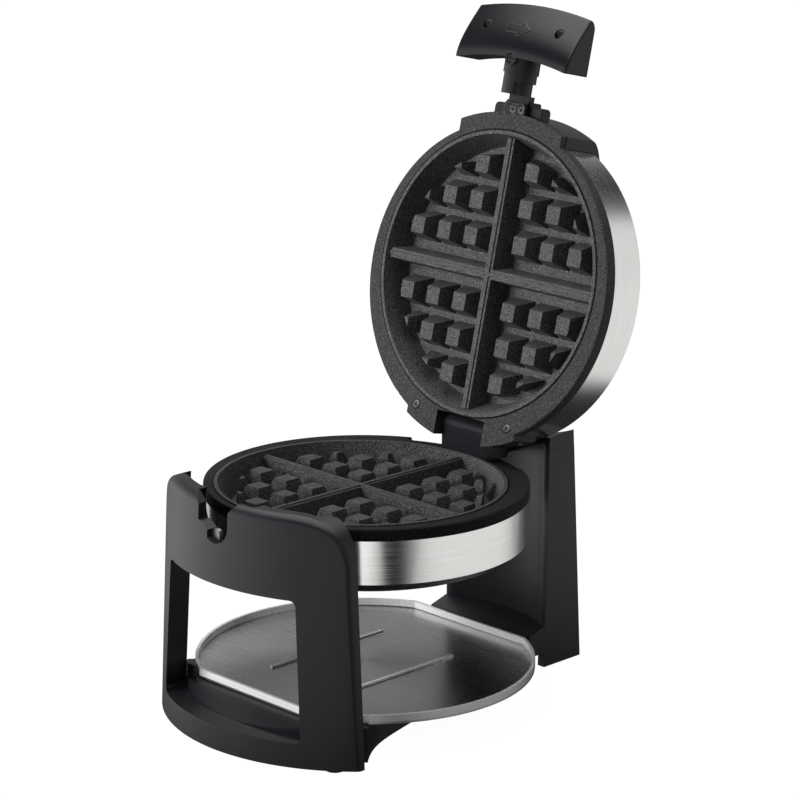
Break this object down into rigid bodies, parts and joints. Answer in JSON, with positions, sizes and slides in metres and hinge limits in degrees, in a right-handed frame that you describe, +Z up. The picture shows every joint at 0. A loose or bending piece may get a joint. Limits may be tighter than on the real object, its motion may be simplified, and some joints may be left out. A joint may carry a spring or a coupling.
{
  "type": "rotating waffle maker",
  "caption": "Countertop round waffle maker with an open hinged lid, a head that turns between a front support and a rear tower, and a drip tray.",
  "frame": {"origin": "middle of the footprint, on the surface that the feet stand on", "axes": "+Z up, -Y towards the user and the front support, +Y towards the rear tower, +X to the right seen from the front; along +Z the open appliance is longest"},
  "size_m": [0.228, 0.3124, 0.4523],
  "materials": {
    "satin_plastic": "satin moulded plastic",
    "nonstick": "speckled non-stick coating on cast aluminium",
    "band_steel": "brushed round the band",
    "tray_steel": "brushed from left to right",
    "screw_steel": "dark plated screws",
    "pin_steel": "turned steel",
    "inner_aluminium": "mill finish sheet",
    "heater_steel": "heat-tinted tube",
    "foot_rubber": "matte moulded rubber",
    "bush_plastic": "moulded bearing plastic"
  },
  "bodies": {
    "stand": {"front_support": "satin_plastic", "base_frame": "satin_plastic", "neck_rest": "pin_steel", "tower_shell": "satin_plastic", "tower_cap": "satin_plastic", "tower_rear_cover": "satin_plastic", "shaft_bushing": "bush_plastic", "cord_inlet": "satin_plastic", "rubber_feet": "foot_rubber", "tray_clips": "satin_plastic"},
    "head": {"lower_bezel": "satin_plastic", "lower_grid_plate": "nonstick", "lower_band": "band_steel", "lower_cover": "satin_plastic", "lower_heating_element": "heater_steel", "lower_thermostat": "inner_aluminium", "lower_heat_shield": "inner_aluminium", "hinge_block": "satin_plastic", "head_shaft": "pin_steel", "shaft_retainer": "pin_steel"},
    "lid": {"lid_bezel": "satin_plastic", "lid_grid_plate": "nonstick", "lid_band": "band_steel", "lid_cover": "satin_plastic", "lid_heating_element": "heater_steel", "lid_thermostat": "inner_aluminium", "lid_heat_shield": "inner_aluminium", "lid_front_cap": "satin_plastic", "hinge_pins": "pin_steel", "lid_ear_screws": "screw_steel", "neck_bracket": "satin_plastic", "neck_screws": "screw_steel", "handle_neck": "satin_plastic", "grip_front": "satin_plastic", "grip_rear": "satin_plastic", "grip_screws": "screw_steel"},
    "tray": {"drip_tray": "tray_steel"}
  },
  "joints": [
    {"name": "head_rotation", "type": "hinge", "parent": "stand", "child": "head", "pos_m": [0, 0.11691, 0.157], "axis": [0, 1, 0], "range_deg": [-2, 2]},
    {"name": "lid_hinge", "type": "hinge", "parent": "head", "child": "lid", "pos_m": [0, 0.08257, 0.1693], "axis": [1, 0, 0], "range_deg": [0, 102.78]},
    {"name": "tray_lift", "type": "slide", "parent": "stand", "child": "tray", "axis": [0, 0, 1], "range_m": [0, 0.06]}
  ]
}
